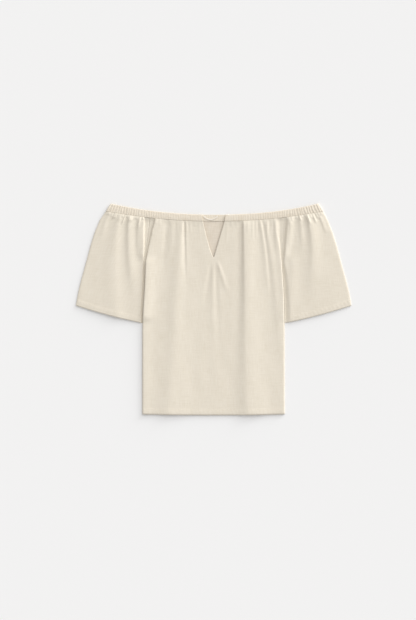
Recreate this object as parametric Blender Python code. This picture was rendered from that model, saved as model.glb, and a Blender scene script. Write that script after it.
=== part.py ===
"""Off-shoulder top in a plain woven cloth, laid out flat on its back.

Metres, +Z up. The garment lies on the plane z = 0 with its neckline towards +Y. Left and right are
as seen from above. The origin is under the middle of its outline. A maker cuts and sews a front
panel with a slit, a back panel, two sleeves, an elasticated neckband and a hanging loop.
"""

import math
from collections import namedtuple

import bmesh
import bpy
from mathutils import Vector

MM = 0.001

# Cloth walls, and the height of the upper layer's outer side above the surface.
CLOTH = 1.5 * MM
SEAM_GAP = 0.3 * MM
AIR_UNDER_FOLDS = 3.8 * MM
LAYER_LOW = 2 * CLOTH + SEAM_GAP
LAYER_HIGH = 2 * CLOTH + AIR_UNDER_FOLDS
EDGE_FOOT = CLOTH + SEAM_GAP

# The laid-out outline.
HEM_CORNER_Y = -287.9 * MM
HEM_SAG = 2.8 * MM
NECK_MIDDLE_Y = 260.6 * MM
SHOULDER_RISE = 30.1 * MM
NECK_REACH = {-1: 280.9 * MM, 1: 285.3 * MM}
SHOULDER_CURVE = {-1: 2.1, 1: 2.3}
UNDERARM_Y = 130.6 * MM
CUFF_OUTER_Y = 11.0 * MM
CUFF_INNER_Y = -37.5 * MM
CUFF_BULGE = 3 * MM
HEM_DEPTH = 15 * MM
CUFF_DEPTH = 15 * MM
HEM_STEP = 0.4 * MM

# The slit at the centre front.
SLIT_HALF = 32.5 * MM
SLIT_TIP_Y = 143.0 * MM
SLIT_CURVE = {-1: 0.75, 1: 1.0}

# The neckband, a cloth casing over flat elastic that ruches it.
BAND_WIDTH = 18.3 * MM
BAND_WIDER_AT_SHOULDER = 3.7 * MM
BAND_THICK = 2.2 * MM
BAND_TOP = 5.8 * MM
BAND_CROWN = 0.3 * MM
SHOULDER_FLARE = 13 * MM
SLIT_LEAN = 3 * MM
SLIT_LEAN_LENGTH = 20 * MM
RUCHE_COUNT = 38
RUCHE_HEIGHT = 0.5 * MM
BACK_RUCHE_COUNT = 10
STEPS_PER_RUCHE = 2

# The body's side: the armhole seam down to the underarm, then the side edge down to the hem. The
# sleeve's inner fold lies clear of it by the left and right gaps.
SideLine = namedtuple("SideLine", "y left right left_gap right_gap")
SIDE_LINES = [
    SideLine(0.2700, -0.1760, 0.1935, 0.0003, 0.0003),
    SideLine(0.2406, -0.1771, 0.1928, 0.0003, 0.0003),
    SideLine(0.2131, -0.1799, 0.1914, 0.0003, 0.0003),
    SideLine(0.1911, -0.1826, 0.1900, 0.0003, 0.0003),
    SideLine(0.1636, -0.1855, 0.1885, 0.0003, 0.0003),
    SideLine(0.1306, -0.1880, 0.1875, 0.0003, 0.0003),
    SideLine(0.0949, -0.1885, 0.1898, 0.0045, 0.0022),
    SideLine(0.0536, -0.1905, 0.1925, 0.0065, 0.0030),
    SideLine(-0.0014, -0.1940, 0.1942, 0.0075, 0.0028),
    SideLine(-0.0375, -0.1955, 0.1947, 0.0045, 0.0026),
    SideLine(-0.0600, -0.1959, 0.1950, 0.0045, 0.0026),
    SideLine(-0.2879, -0.1962, 0.1953, 0.0045, 0.0026),
]

# The sleeve's outer fold, from below the neckband to the cuff, as a distance from the middle.
SleeveFold = namedtuple("SleeveFold", "y x")
SLEEVE_FOLDS = [
    SleeveFold(0.2461, 0.3130),
    SleeveFold(0.2296, 0.3195),
    SleeveFold(0.2131, 0.3266),
    SleeveFold(0.1801, 0.3372),
    SleeveFold(0.1471, 0.3460),
    SleeveFold(0.1141, 0.3549),
    SleeveFold(0.0811, 0.3642),
    SleeveFold(0.0481, 0.3722),
    SleeveFold(0.0110, 0.3790),
]

# How far from its seam or side edge the front, or the inner part of a sleeve, comes up to its full
# height. Above the underarm a low floor lies between the two crests, and below it the edges roll over.
EdgeRoll = namedtuple("EdgeRoll", "y body_left body_right sleeve_left sleeve_right")
EDGE_ROLLS = [
    EdgeRoll(0.2500, 0.0180, 0.0240, 0.0170, 0.0120),
    EdgeRoll(0.2131, 0.0120, 0.0190, 0.0140, 0.0110),
    EdgeRoll(0.1911, 0.0100, 0.0130, 0.0113, 0.0105),
    EdgeRoll(0.1636, 0.0065, 0.0085, 0.0080, 0.0095),
    EdgeRoll(0.1306, 0.0040, 0.0045, 0.0060, 0.0060),
    EdgeRoll(0.1000, 0.0040, 0.0040, 0.0070, 0.0100),
    EdgeRoll(-0.2900, 0.0045, 0.0045, 0.0070, 0.0120),
]
FLOOR_START = 2 * MM
CREST_FLANK = 3 * MM
FLOOR_LEAST = 5 * MM
FLOOR_FULL = 10 * MM
CREST_RISE = 1.4 * MM
CREST_WIDTH = 10 * MM
OUTER_ROLL = 7 * MM
UNDER_ROLL = 3 * MM

# Folds of a panel, from its neck seam down. x_top, x_end and bow are in millimetres on the front and
# shares of the width from seam to outer fold on a sleeve. start and end are shares of the length.
# The widths of the fold's left and right flanks and its rise, in millimetres, change from top to end.
Fold = namedtuple("Fold", "x_top x_end bow start end left left_end right right_end rise rise_end")
FRONT_FOLDS = [
    Fold(-88, -112, 2, 0.00, 1.00, 22, 30, 5, 42, 3.4, 1.6),
    Fold(81, 104, -9, 0.00, 1.00, 5, 40, 26, 32, 3.6, 1.7),
    Fold(-118, -132, 0, 0.00, 0.34, 9, 13, 7, 12, 1.8, 0.6),
    Fold(-142, -152, 0, 0.00, 0.42, 9, 12, 8, 12, 1.6, 0.5),
    Fold(-166, -170, 0, 0.00, 0.60, 12, 14, 10, 12, 1.2, 0.5),
    Fold(136, 192, 10, 0.00, 0.95, 6, 18, 10, 12, 2.0, 0.8),
    Fold(164, 176, 0, 0.00, 0.42, 8, 12, 10, 12, 1.4, 0.5),
    Fold(184, 187, 0, 0.00, 0.60, 7, 10, 10, 12, 0.9, 0.4),
    Fold(112, 120, 0, 0.00, 0.16, 5, 8, 6, 8, 1.0, 0.3),
    Fold(-61, -54, 0, 0.00, 0.30, 9, 13, 6, 9, 1.3, 0.4),
    Fold(-43, -40, 0, 0.00, 0.12, 6, 9, 5, 8, 1.0, 0.3),
    Fold(46, 42, 0, 0.00, 0.14, 5, 9, 6, 8, 1.1, 0.3),
    Fold(63, 60, 0, 0.00, 0.20, 5, 10, 7, 9, 1.2, 0.3),
    Fold(-7, -38, 0, 0.22, 0.56, 5, 12, 5, 14, -1.3, -0.4),
    Fold(0, -3, 0, 0.20, 0.50, 5, 10, 5, 10, 1.2, 0.3),
    Fold(6, 18, 0, 0.22, 0.80, 4, 14, 4, 12, -1.2, -0.3),
    Fold(10, 56, 0, 0.20, 0.44, 5, 12, 6, 12, 1.2, 0.3),
]
LEFT_SLEEVE_FOLDS = [
    Fold(0.47, 0.20, -0.05, 0.00, 0.86, 5, 18, 18, 26, 3.0, 0.8),
    Fold(0.66, 0.52, 0.00, 0.00, 0.95, 16, 34, 12, 26, 2.2, 1.4),
    Fold(0.86, 0.90, 0.00, 0.00, 0.60, 6, 12, 10, 14, 1.4, 0.4),
    Fold(0.30, 0.10, 0.00, 0.00, 0.40, 4, 9, 8, 12, 1.6, 0.5),
    Fold(0.17, 0.09, 0.00, 0.00, 0.22, 4, 6, 6, 8, 1.2, 0.4),
]
RIGHT_SLEEVE_FOLDS = [
    Fold(0.59, 0.34, 0.05, 0.00, 0.84, 5, 18, 18, 26, 3.0, 0.8),
    Fold(0.76, 0.74, 0.00, 0.00, 0.95, 14, 34, 14, 26, 2.0, 1.4),
    Fold(0.44, 0.30, 0.00, 0.00, 0.60, 14, 16, 8, 14, 2.0, 0.6),
    Fold(0.26, 0.18, 0.00, 0.00, 0.30, 6, 9, 6, 9, 1.4, 0.4),
    Fold(0.90, 0.94, 0.00, 0.00, 0.40, 5, 9, 8, 12, 1.3, 0.4),
    Fold(0.12, 0.12, 0.00, 0.00, 0.20, 4, 6, 5, 7, 1.0, 0.3),
]

# The hanging loop, a tape sewn at its two ends to the middle of the back neckband.
LOOP_LEFT_X = -29 * MM
LOOP_RIGHT_X = 11 * MM
LOOP_END_Y = 256 * MM
LOOP_SAG = 9 * MM
LOOP_WIDTH = 3 * MM
LOOP_THICK = 0.8 * MM

# Points across and along each piece.
ROLL_STEPS = 3
SEAM_STEPS = 4
FRONT_HALF_COLUMNS = 28
BACK_COLUMNS = 14
SLEEVE_TOP_COLUMNS = 14
SLEEVE_UNDER_COLUMNS = 4
LONGEST_ROW = 24 * MM
SHOULDER_TURN_STEPS = 6
BACK_BAND_STEPS = 16
LOOP_STEPS = 12

# A fold that starts or stops inside a panel fades in and out over these shares of its length.
FADE_IN = 0.2
FADE_OUT = 0.4
LEVEL_BETWEEN_FOLDS = -0.7
SEARCH_STEPS = 20
WELD = 0.001 * MM
CREASE_ANGLE = math.radians(50)

CLOTH_COLOUR = (0.78, 0.71, 0.59)
BAND_COLOUR = (0.74, 0.66, 0.54)
TAPE_COLOUR = (0.72, 0.64, 0.53)
CLOTH_ROUGHNESS = 0.9


def clear_scene():
    for old in list(bpy.data.objects):
        bpy.data.objects.remove(old, do_unlink=True)


def cloth_material(name, colour):
    material = bpy.data.materials.new(name)
    material.use_nodes = True
    shader = material.node_tree.nodes["Principled BSDF"]
    shader.inputs["Base Color"].default_value = (*colour, 1)
    shader.inputs["Roughness"].default_value = CLOTH_ROUGHNESS
    shader.inputs["Metallic"].default_value = 0
    return material


def ease(t):
    """0 to 1, starting and ending level."""
    t = min(1, max(0, t))
    return t * t * (3 - 2 * t)


def lookup(table, y, column):
    """The named column of a table whose rows run down the garment, between its rows at height y."""
    if y >= table[0].y:
        return getattr(table[0], column)
    for upper, lower in zip(table, table[1:]):
        if y >= lower.y:
            share = (upper.y - y) / (upper.y - lower.y)
            return getattr(upper, column) * (1 - share) + getattr(lower, column) * share
    return getattr(table[-1], column)


def side_x(y, side):
    """The body's armhole seam or side edge, for side -1 (left) or 1 (right)."""
    return lookup(SIDE_LINES, y, "left" if side < 0 else "right")


def sleeve_inner_x(y, side):
    """The sleeve's armhole seam or inner fold."""
    return side_x(y, side) + side * lookup(SIDE_LINES, y, "left_gap" if side < 0 else "right_gap")


def side_of(share):
    return -1 if share < 0 else 1


def hem_y(x, side):
    """The hem's edge, which sags a little between the body's corners."""
    return HEM_CORNER_Y - HEM_SAG * (1 - (x / side_x(HEM_CORNER_Y, side)) ** 2)


def neck_edge_y(share):
    """The neckband's free edge, for a share of the half neckline from the middle, -1 to 1."""
    return NECK_MIDDLE_Y + SHOULDER_RISE * abs(share) ** SHOULDER_CURVE[side_of(share)]


def band_width(share):
    return BAND_WIDTH + BAND_WIDER_AT_SHOULDER * share * share


def band_lean(share):
    """How much further out the band's sewn edge lies than its free edge."""
    side = side_of(share)
    from_slit = (abs(share) * NECK_REACH[side] - SLIT_HALF) / SLIT_LEAN_LENGTH
    inward = SLIT_LEAN * math.exp(-from_slit * from_slit)
    return side * (SHOULDER_FLARE * abs(share) ** 6 - inward)


def neck_seam_y(x):
    """The top edge of the cloth that is sewn to the band, at x."""
    side = side_of(x)
    share = x / NECK_REACH[side]
    for _ in range(SEARCH_STEPS):
        share = (x - band_lean(share)) / NECK_REACH[side]
        share = side * min(1, abs(share))
    return neck_edge_y(share) - band_width(share) - SEAM_GAP


def seam_top(side, line):
    """Where an armhole seam line, a function of y, reaches the neckband's seam."""
    y = neck_seam_y(line(SIDE_LINES[0].y, side))
    for _ in range(SEARCH_STEPS):
        y = neck_seam_y(line(y, side))
    return Vector((line(y, side), y))


def rows_between(top, bottom, marks):
    """Heights from top down to bottom, through every mark and row of SIDE_LINES, none far apart."""
    knots = {line.y for line in SIDE_LINES} | set(marks)
    stops = sorted((y for y in knots if bottom + MM < y < top - MM), reverse=True)
    stops = [top] + stops + [bottom]
    rows = [top]
    for upper, lower in zip(stops, stops[1:]):
        steps = math.ceil((upper - lower) / LONGEST_ROW)
        rows += [upper + (lower - upper) * (k + 1) / steps for k in range(steps)]
    return rows


def fold_rise(folds, across, along, to_metres):
    """The sum of the folds at a place. to_metres turns a difference across into metres."""
    total = 0
    for fold in folds:
        t = (along - fold.start) / (fold.end - fold.start)
        if t < 0 or t > 1:
            continue
        crest = fold.x_top + (fold.x_end - fold.x_top) * t + fold.bow * 4 * t * (1 - t)
        offset = (across - crest) * to_metres
        near, far = (fold.left, fold.left_end) if offset < 0 else (fold.right, fold.right_end)
        width = (near + (far - near) * t) * MM
        rise = (fold.rise + (fold.rise_end - fold.rise) * t) * MM
        fade_out = 1 if fold.end == 1 else ease((1 - t) / FADE_OUT)
        fade_in = 1 if fold.start == 0 else ease(t / FADE_IN)
        total += rise * fade_in * fade_out * math.exp(-((offset / width) ** 2))
    return total


def layer_height(rise):
    """The upper cloth's outer height. Folds level off before they lift clear of the lower layer."""
    half = (LAYER_HIGH - LAYER_LOW) / 2
    return LAYER_LOW + half * (1 + math.tanh(rise / half + LEVEL_BETWEEN_FOLDS))


def hem_step(distance_to_edge, depth):
    """A turned-up hem is a second layer of cloth under the first."""
    return HEM_STEP if distance_to_edge <= depth + WELD else 0


def rolled(start, direction, width, foot, top, step, steps=ROLL_STEPS):
    """A point of an edge that rolls over: its place across, its height, and its way out."""
    angle = math.pi / 2 * step / steps
    across = start + direction * width * (1 - math.cos(angle))
    height = foot + (top - foot) * math.sin(angle)
    upward = 1 if top > foot else -1
    return across, height, (-direction * math.cos(angle), upward * math.sin(angle))


def floor_share(width):
    """0 where an edge is too narrow for a floor between seam and crest, 1 where it has a whole one."""
    return ease((width - FLOOR_LEAST) / (FLOOR_FULL - FLOOR_LEAST))


def crest_rise(from_crest, width):
    """The extra height of the cloth beside a floor."""
    return CREST_RISE * floor_share(width) * math.exp(-((from_crest / CREST_WIDTH) ** 2))


def seam_edge(width, foot, top, step):
    """A point between seam and crest, as rolled gives it: a round edge, or a floor and a steep flank."""
    across, height, out = rolled(0, 1, width, foot, top, step, SEAM_STEPS)
    share = floor_share(width)
    floor_points = [
        (0, foot, (-1, 0)),
        (FLOOR_START, LAYER_LOW, (0, 1)),
        (width - CREST_FLANK, LAYER_LOW, (0, 1)),
        (width - CREST_FLANK / 3, LAYER_LOW + (top - LAYER_LOW) * 0.8, (0, 1)),
    ]
    floor_across, floor_height, floor_out = floor_points[step]
    return (
        across + (floor_across - across) * share,
        height + (floor_height - height) * share,
        tuple(a + (b - a) * share for a, b in zip(out, floor_out)),
    )


def add_grid(bm, columns, rows, place):
    """Adds a grid of outer points. place(i, j) gives each outer point and the wall's inner point."""
    inward = bm.verts.layers.float_vector.verify()
    made = bmesh.ops.create_grid(bm, x_segments=columns, y_segments=rows, size=1)
    for point in made["verts"]:
        i = round((point.co.x + 1) / 2 * columns)
        j = round((1 - point.co.y) / 2 * rows)
        outer, inner = place(i, j)
        point.co = outer
        point[inward] = Vector(inner) - Vector(outer)


def cloth_piece(name, grids, material):
    """One closed cloth wall from grids of outer points that meet along shared edges."""
    bm = bmesh.new()
    for columns, rows, place in grids:
        add_grid(bm, columns, rows, place)
    inward = bm.verts.layers.float_vector.verify()
    bmesh.ops.remove_doubles(bm, verts=bm.verts, dist=WELD)
    made = bmesh.ops.extrude_face_region(bm, geom=bm.faces[:], use_keep_orig=True)
    for item in made["geom"]:
        if isinstance(item, bmesh.types.BMVert):
            item.co += item[inward]
    return finish(name, bm, material)


def finish(name, bm, material):
    bmesh.ops.recalc_face_normals(bm, faces=bm.faces)
    mesh = bpy.data.meshes.new(name)
    bm.to_mesh(mesh)
    bm.free()
    mesh.shade_smooth()
    mesh.set_sharp_from_angle(angle=CREASE_ANGLE)
    piece = bpy.data.objects.new(name, mesh)
    piece.data.materials.append(material)
    return piece


def front_panel(material):
    """The front: two halves, apart along the slit and joined below it, each rolling over at its side."""
    hem_line = HEM_CORNER_Y + HEM_DEPTH
    tops = {side: seam_top(side, side_x) for side in (-1, 1)}
    edge_shares = {}
    for side, top in tops.items():
        rows = rows_between(top.y, HEM_CORNER_Y, [SLIT_TIP_Y, hem_line + 2 * MM, hem_line])
        edge_shares[side] = [(top.y - y) / (top.y - HEM_CORNER_Y) for y in rows]
    middle_shares = [sum(pair) / 2 for pair in zip(edge_shares[-1], edge_shares[1])]
    middle_top_y = neck_seam_y(0)
    tip = (middle_top_y - SLIT_TIP_Y) / (middle_top_y - hem_y(0, 1))
    tip_row = min(range(len(middle_shares)), key=lambda j: abs(middle_shares[j] - tip))
    middle_shares[tip_row] = tip
    grids = []
    for side in (-1, 1):
        place = front_half(side, tops[side], edge_shares[side], middle_shares, tip)
        grids.append((FRONT_HALF_COLUMNS, len(middle_shares) - 1, place))
    return cloth_piece("front", grids, material)


def front_half(side, top, edge_shares, middle_shares, tip):
    """The map from a half's columns, side edge to middle, and rows to the front's two surfaces."""
    slit_top_x = side * (SLIT_HALF - SLIT_LEAN)

    def place(i, j):
        edge_y = top.y + (HEM_CORNER_Y - top.y) * edge_shares[j]
        edge_x = side_x(edge_y, side)
        roll_width = lookup(EDGE_ROLLS, edge_y, "body_left" if side < 0 else "body_right")
        slit_x = slit_top_x * max(0, 1 - middle_shares[j] / tip) ** SLIT_CURVE[side]
        span = abs(slit_x - edge_x)
        inner_step = max(0, i - SEAM_STEPS) / (FRONT_HALF_COLUMNS - SEAM_STEPS)
        across = roll_width + (span - roll_width) * inner_step
        rolling = i < SEAM_STEPS
        if rolling:
            across = seam_edge(roll_width, 0, 1, i)[0]
        share = across / span
        down = edge_shares[j] + (middle_shares[j] - edge_shares[j]) * share
        x = edge_x - side * across
        top_x = top.x + (slit_top_x * max(0, 1 - down / tip) - top.x) * share
        start_y = neck_seam_y(top_x)
        end_y = hem_y(x, side)
        y = start_y + (end_y - start_y) * down
        rise = fold_rise(FRONT_FOLDS, x / MM, down, MM) + crest_rise(across - roll_width, roll_width)
        height = layer_height(rise) + hem_step(y - end_y, HEM_DEPTH)
        out = (0, 1)
        if rolling:
            across, height, out = seam_edge(roll_width, EDGE_FOOT, height, i)
        return (x, y, height), (x + side * out[0] * CLOTH, y, height - out[1] * CLOTH)

    return place


def back_panel(material):
    """The back lies flat on the surface."""
    tops = {side: seam_top(side, side_x) for side in (-1, 1)}
    lines = {side: rows_between(tops[side].y, HEM_CORNER_Y, []) for side in (-1, 1)}

    def place(i, j):
        share = i / BACK_COLUMNS
        left_y = lines[-1][j]
        right_y = lines[1][j]
        left_x = side_x(left_y, -1)
        right_x = side_x(right_y, 1)
        start_y = neck_seam_y(tops[-1].x + (tops[1].x - tops[-1].x) * share)
        straight_start = tops[-1].y + (tops[1].y - tops[-1].y) * share
        x = left_x + (right_x - left_x) * share
        straight_y = left_y + (right_y - left_y) * share
        up = (straight_y - HEM_CORNER_Y) / (straight_start - HEM_CORNER_Y)
        y = straight_y + (start_y - straight_start) * up + (hem_y(x, side_of(x)) - HEM_CORNER_Y) * (1 - up)
        return (x, y, 0), (x, y, CLOTH)

    return cloth_piece("back", [(BACK_COLUMNS, len(lines[1]) - 1, place)], material)


def sleeve(name, side, folds, material):
    """A sleeve laid flat: a tube below the underarm, open along its armhole seam above it."""
    top = seam_top(side, sleeve_inner_x)
    cuff_line = CUFF_INNER_Y + CUFF_DEPTH
    rows = rows_between(top.y, CUFF_INNER_Y, [UNDERARM_Y, cuff_line + 2 * MM, cuff_line])
    outer_top_x = NECK_REACH[side] + SHOULDER_FLARE + BAND_TOP / 2
    outer_top = Vector((side * outer_top_x, neck_seam_y(side * outer_top_x)))
    outer_folds = [SleeveFold(outer_top.y, outer_top_x)] + SLEEVE_FOLDS
    length = top.y - CUFF_INNER_Y
    sections = []
    for y in rows:
        down = (top.y - y) / length
        inner = Vector((sleeve_inner_x(y, side), y))
        outer_y = outer_top.y + (CUFF_OUTER_Y - outer_top.y) * down
        outer = Vector((side * lookup(outer_folds, outer_y, "x"), outer_y))
        sections.append(sleeve_section(side, folds, inner, outer, down, length, top, outer_top))
    columns = len(sections[0]) - 1
    grid = (columns, len(rows) - 1, lambda i, j: sections[j][i])
    return cloth_piece(name, [grid], material)


def sleeve_section(side, folds, inner, outer, down, length, top, outer_top):
    """The outer and inner points round a sleeve, from its seam over the top and back underneath."""
    span = (outer - inner).length
    way = (outer - inner) / span
    closed = inner.y <= UNDERARM_Y + WELD
    seam_roll = lookup(EDGE_ROLLS, inner.y, "sleeve_left" if side < 0 else "sleeve_right")
    crest_share = 0 if closed else seam_roll

    def height_at(across):
        rise = fold_rise(folds, across / span, down, span) + crest_rise(across - seam_roll, crest_share)
        return layer_height(rise) + hem_step((1 - down) * length, CUFF_DEPTH)

    fold_z = height_at(span) / 2
    foot = fold_z if closed else EDGE_FOOT
    points = []
    for step in range(SEAM_STEPS):
        if closed:
            across = rolled(0, 1, seam_roll, 0, 1, step, SEAM_STEPS)[0]
            points.append(rolled(0, 1, seam_roll, foot, height_at(across), step, SEAM_STEPS))
        else:
            across = seam_edge(seam_roll, 0, 1, step)[0]
            points.append(seam_edge(seam_roll, foot, height_at(across), step))
    for k in range(SLEEVE_TOP_COLUMNS + 1):
        across = seam_roll + (span - OUTER_ROLL - seam_roll) * k / SLEEVE_TOP_COLUMNS
        points.append((across, height_at(across), (0, 1)))
    for step in reversed(range(ROLL_STEPS)):
        across = rolled(span, -1, OUTER_ROLL, 0, 1, step)[0]
        points.append(rolled(span, -1, OUTER_ROLL, fold_z, height_at(across), step))
    for step in range(1, ROLL_STEPS):
        points.append(rolled(span, -1, UNDER_ROLL, fold_z, 0, step))
    for k in range(SLEEVE_UNDER_COLUMNS + 1):
        across = span - UNDER_ROLL - (span - 2 * UNDER_ROLL) * k / SLEEVE_UNDER_COLUMNS
        points.append((across, 0, (0, -1)))
    for step in reversed(range(ROLL_STEPS)):
        across, height, out = rolled(0, 1, UNDER_ROLL, fold_z, 0, step)
        points.append((across, height, out) if closed else (across, 0, (0, -1)))

    section = []
    for across, height, out in points:
        share = across / span
        place = inner + way * across
        straight_top = top + (outer_top - top) * share
        place.y += (neck_seam_y(straight_top.x) - straight_top.y) * (1 - down) ** 2
        place.y -= CUFF_BULGE * 4 * share * (1 - share) * down**4
        inward = place - way * out[0] * CLOTH
        section.append(((*place, height), (*inward, height - out[1] * CLOTH)))
    return section


def band_stations():
    """The neckband's sections from one side of the slit to the other: (share, turn, ruche).

    turn runs from 0 on the front to 1 on the back, and ruche from -1 in a furrow to 1 on a ridge.
    """
    runs = {}
    for side in (-1, 1):
        slit = SLIT_HALF / NECK_REACH[side]
        steps = RUCHE_COUNT * STEPS_PER_RUCHE
        front = [(slit + (1 - slit) * k / steps, 0, (-1) ** (k + 1)) for k in range(steps)]
        turn = [(1, k / SHOULDER_TURN_STEPS, 0) for k in range(SHOULDER_TURN_STEPS + 1)]
        behind = [(1 - (1 - slit) * (k + 1) / BACK_BAND_STEPS, 1, 0) for k in range(BACK_BAND_STEPS)]
        runs[side] = [(side * share, turned, ruche) for share, turned, ruche in front + turn + behind]
    left_end, right_end = runs[-1][-1][0], runs[1][-1][0]
    steps = BACK_RUCHE_COUNT * STEPS_PER_RUCHE
    step = (right_end - left_end) / steps
    middle = [(left_end + step * k, 1, (-1) ** (k + 1)) for k in range(1, steps)]
    return runs[-1] + middle + runs[1][::-1]


def neckband(material):
    """The casing, one ruched strip from one side of the slit, round the shoulders, to the other side."""
    stations = band_stations()
    half = BAND_TOP / 2
    across_band = [(0, 0, True), (0.5, 1, True), (1, 0, True), (1, 0, False), (0.5, 1, False), (0, 0, False)]

    def place(i, j):
        share, turned, ruche = stations[i]
        down, crown, outside = across_band[j % len(across_band)]
        radius = half if outside else half - BAND_THICK
        angle = math.pi * turned
        seen = outside if turned < 0.5 else not outside
        if seen and ruche:
            bump = RUCHE_HEIGHT * ruche * (0.55 + 0.45 * crown) + BAND_CROWN * crown
            radius += bump if outside else -bump
        x = share * NECK_REACH[side_of(share)] + band_lean(share) * down
        x += side_of(share) * math.sin(angle) * radius
        y = neck_edge_y(share) - band_width(share) * down
        return Vector((x, y, half + math.cos(angle) * radius))

    bm = bmesh.new()
    made = bmesh.ops.create_grid(bm, x_segments=len(stations) - 1, y_segments=len(across_band), size=1)
    for point in made["verts"]:
        i = round((point.co.x + 1) / 2 * (len(stations) - 1))
        j = round((1 - point.co.y) / 2 * len(across_band))
        point.co = place(i, j)
    bmesh.ops.remove_doubles(bm, verts=bm.verts, dist=WELD)
    bmesh.ops.holes_fill(bm, edges=[edge for edge in bm.edges if edge.is_boundary])
    return finish("neckband", bm, material)


def hanging_loop(material):
    """A narrow tape that lies on the back neckband inside the slit."""
    underside = BAND_THICK + RUCHE_HEIGHT + BAND_CROWN + SEAM_GAP

    def place(i, j):
        t = i / LOOP_STEPS
        x = LOOP_LEFT_X + (LOOP_RIGHT_X - LOOP_LEFT_X) * t
        y = LOOP_END_Y - LOOP_SAG * math.sin(math.pi * t) + LOOP_WIDTH * (0.5 - j / 2)
        return (x, y, underside + LOOP_THICK), (x, y, underside)

    return cloth_piece("neck_loop", [(LOOP_STEPS, 2, place)], material)


def main():
    clear_scene()
    cloth = cloth_material("plain weave", CLOTH_COLOUR)
    casing = cloth_material("ruched casing", BAND_COLOUR)
    tape = cloth_material("woven tape", TAPE_COLOUR)
    garment = bpy.data.collections.new("off-shoulder top")
    bpy.context.scene.collection.children.link(garment)
    pieces = [
        front_panel(cloth),
        back_panel(cloth),
        sleeve("sleeve_left", -1, LEFT_SLEEVE_FOLDS, cloth),
        sleeve("sleeve_right", 1, RIGHT_SLEEVE_FOLDS, cloth),
        neckband(casing),
        hanging_loop(tape),
    ]
    for piece in pieces:
        garment.objects.link(piece)


main()
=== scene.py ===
# %% [markdown]
# An off-shoulder top, laid out flat. The real one is cut from a cream linen and cotton plain weave:
# a front with a V slit, a back, two sleeves, and a casing with flat elastic that gathers all four.
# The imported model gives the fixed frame: every piece below takes the place of one of its solids.

# %% Load the frame
import math
from collections import namedtuple

import bmesh
import bpy
import numpy as np
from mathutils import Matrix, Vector
from mathutils.bvhtree import BVHTree


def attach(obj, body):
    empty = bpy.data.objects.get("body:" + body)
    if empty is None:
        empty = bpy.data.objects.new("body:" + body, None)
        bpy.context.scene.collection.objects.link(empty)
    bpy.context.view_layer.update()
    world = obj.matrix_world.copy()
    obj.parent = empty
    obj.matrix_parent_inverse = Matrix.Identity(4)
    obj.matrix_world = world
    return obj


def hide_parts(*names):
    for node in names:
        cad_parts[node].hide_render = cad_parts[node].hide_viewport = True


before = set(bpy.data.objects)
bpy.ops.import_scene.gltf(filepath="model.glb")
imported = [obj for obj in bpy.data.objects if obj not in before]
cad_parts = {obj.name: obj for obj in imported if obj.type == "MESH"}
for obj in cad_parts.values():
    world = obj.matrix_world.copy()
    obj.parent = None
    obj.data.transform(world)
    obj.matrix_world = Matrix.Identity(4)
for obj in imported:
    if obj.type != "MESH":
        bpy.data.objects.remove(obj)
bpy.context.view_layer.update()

MM = 0.001
print("frame nodes:", sorted(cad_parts))

# %% [markdown]
# The sizes are the pattern maker's: a side line with its armhole seam, the sleeves' outer folds, and
# a table with a row for each fold. The outer outline repeats the solids' own sizes, so that each
# shell of fine cloth lies on its solid. Only the sleeves' edges beside the body lie closer to it than
# the solids' do. A fold's places are millimetres on the front and shares across a sleeve. An edge
# roll is how far in the crest beside the seam stands, and its flank is how much of that width the
# cloth takes to rise. The rest is a low floor.

# %% Sizes of the cut
SideLine = namedtuple("SideLine", "y left right")
SIDE_LINES = [
    SideLine(0.2700, -0.1760, 0.1935),
    SideLine(0.2406, -0.1771, 0.1928),
    SideLine(0.2131, -0.1799, 0.1914),
    SideLine(0.1911, -0.1826, 0.1900),
    SideLine(0.1636, -0.1855, 0.1885),
    SideLine(0.1306, -0.1880, 0.1875),
    SideLine(0.0949, -0.1885, 0.1898),
    SideLine(0.0536, -0.1905, 0.1925),
    SideLine(-0.0014, -0.1940, 0.1942),
    SideLine(-0.0375, -0.1955, 0.1947),
    SideLine(-0.0600, -0.1959, 0.1950),
    SideLine(-0.2879, -0.1962, 0.1953),
]
SleeveFold = namedtuple("SleeveFold", "y x")
SLEEVE_FOLDS = [
    SleeveFold(0.2461, 0.3130),
    SleeveFold(0.2296, 0.3195),
    SleeveFold(0.2131, 0.3266),
    SleeveFold(0.1801, 0.3372),
    SleeveFold(0.1471, 0.3460),
    SleeveFold(0.1141, 0.3549),
    SleeveFold(0.0811, 0.3642),
    SleeveFold(0.0481, 0.3722),
    SleeveFold(0.0110, 0.3790),
]
HEM_CORNER_Y = -287.9 * MM
HEM_SAG = 2.8 * MM
NECK_MIDDLE_Y = 260.6 * MM
SHOULDER_RISE = 30.1 * MM
NECK_REACH = {-1: 280.9 * MM, 1: 285.3 * MM}
SHOULDER_CURVE = {-1: 2.1, 1: 2.3}
UNDERARM_Y = 130.6 * MM
CUFF_OUTER_Y = 11.0 * MM
CUFF_INNER_Y = -37.5 * MM
CUFF_BULGE = 3 * MM
HEM_DEPTH = 15 * MM
SLIT_HALF = 32.5 * MM
SLIT_TIP_Y = 143.0 * MM
SLIT_CURVE = {-1: 0.75, 1: 1.0}
BAND_WIDTH = 18.3 * MM
BAND_WIDER_AT_SHOULDER = 3.7 * MM
BAND_THICK = 2.2 * MM
BAND_TOP = 5.8 * MM
SHOULDER_FLARE = 13 * MM
SLIT_LEAN = 3 * MM
SLIT_LEAN_LENGTH = 20 * MM

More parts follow.
